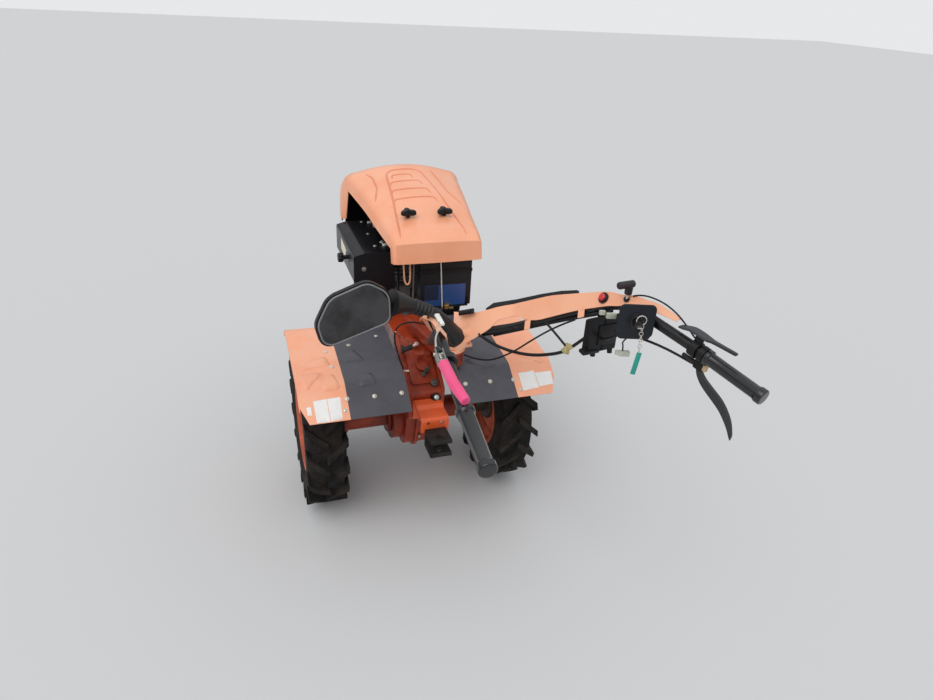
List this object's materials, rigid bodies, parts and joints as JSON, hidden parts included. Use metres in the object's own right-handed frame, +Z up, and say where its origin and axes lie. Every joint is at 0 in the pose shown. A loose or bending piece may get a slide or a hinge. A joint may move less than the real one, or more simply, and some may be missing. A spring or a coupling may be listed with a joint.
{
  "type": "walking tractor",
  "caption": "Two-wheeled diesel walking tractor with hood, battery, fenders, lugged tyres, swinging handlebar, front parking stand and drawbar jaw.",
  "frame": {"origin": "on the ground, midway between the two wheels, straight under the axle", "axes": "+Z up, +Y forward along the tractor, +X to its right along the axle"},
  "size_m": [0.9904, 1.9762, 1.0597],
  "materials": {
    "cast_orange": "satin orange paint on rough castings",
    "sheet_orange": "gloss orange paint on sheet",
    "sheet_black": "satin black paint on sheet",
    "rim_orange": "dusty orange-red paint",
    "tyre": "muddy black rubber",
    "hub_metal": "oily dark iron",
    "engine_metal": "cast aluminium",
    "tank_black": "gloss black paint",
    "battery_case": "ribbed black plastic",
    "plated": "zinc plated steel",
    "arm_black": "gloss black paint on tube",
    "grip_rubber": "ribbed black rubber",
    "lever_pink": "pink plastic sleeve",
    "plastic_black": "black plastic",
    "button_red": "red plastic",
    "mirror_glass": "silvered glass",
    "cable_black": "black cable sheath"
  },
  "bodies": {
    "chassis": {"axle_tubes": "cast_orange", "battery": "battery_case", "battery_clamp": "plated", "battery_tray": "sheet_black", "bumper": "arm_black", "clamp_knobs": "plastic_black", "clutch_housing": "cast_orange", "column_base": "cast_orange", "engine_block": "engine_metal", "engine_cylinder": "engine_metal", "engine_frame": "sheet_black", "fan_shroud": "tank_black", "fender_inner_left": "sheet_black", "fender_inner_right": "sheet_black", "fender_outer_left": "sheet_orange", "fender_outer_right": "sheet_orange", "fender_straps": "sheet_black", "fuel_tank": "tank_black", "gearbox": "cast_orange", "gearbox_cover": "cast_orange", "hitch_bracket": "sheet_orange", "hitch_jaw": "sheet_black", "hood": "sheet_orange", "hood_supports": "sheet_black", "muffler": "hub_metal", "side_housing": "sheet_black"},
    "wheel_left": {"tyre_left": "tyre", "rim_left": "rim_orange", "hub_left": "hub_metal"},
    "wheel_right": {"tyre_right": "tyre", "rim_right": "rim_orange", "hub_right": "hub_metal"},
    "handlebar": {"arm_cover_left": "sheet_orange", "arm_cover_right": "sheet_orange", "arm_left": "arm_black", "arm_right": "arm_black", "clutch_lever": "lever_pink", "control_cables": "cable_black", "drive_lever": "plastic_black", "grips": "grip_rubber", "lever_clamps": "plastic_black", "mirror_arm": "grip_rubber", "mirror_glass": "mirror_glass", "mirror_shell": "plastic_black", "steering_lever": "plastic_black", "stop_button": "button_red", "switch_box": "plastic_black", "switch_panel": "plastic_black", "swivel_head": "sheet_orange", "throttle_lever": "plastic_black"},
    "stand": {"front_stand": "arm_black"}
  },
  "joints": [
    {"name": "left_wheel_spin", "type": "hinge", "parent": "chassis", "child": "wheel_left", "pos_m": [-0.338, 0, 0.284], "axis": [1, 0, 0], "continuous": true},
    {"name": "right_wheel_spin", "type": "hinge", "parent": "chassis", "child": "wheel_right", "pos_m": [0.338, 0, 0.284], "axis": [1, 0, 0], "continuous": true},
    {"name": "handlebar_swing", "type": "hinge", "parent": "chassis", "child": "handlebar", "pos_m": [0.075, -0.245, 0.668], "axis": [0, 0, 1], "range_deg": [-37.7, 22.3]},
    {"name": "stand_fold", "type": "hinge", "parent": "chassis", "child": "stand", "pos_m": [0.092, 0.64, 0.362], "axis": [1, 0, 0], "range_deg": [-84, 0]}
  ]
}
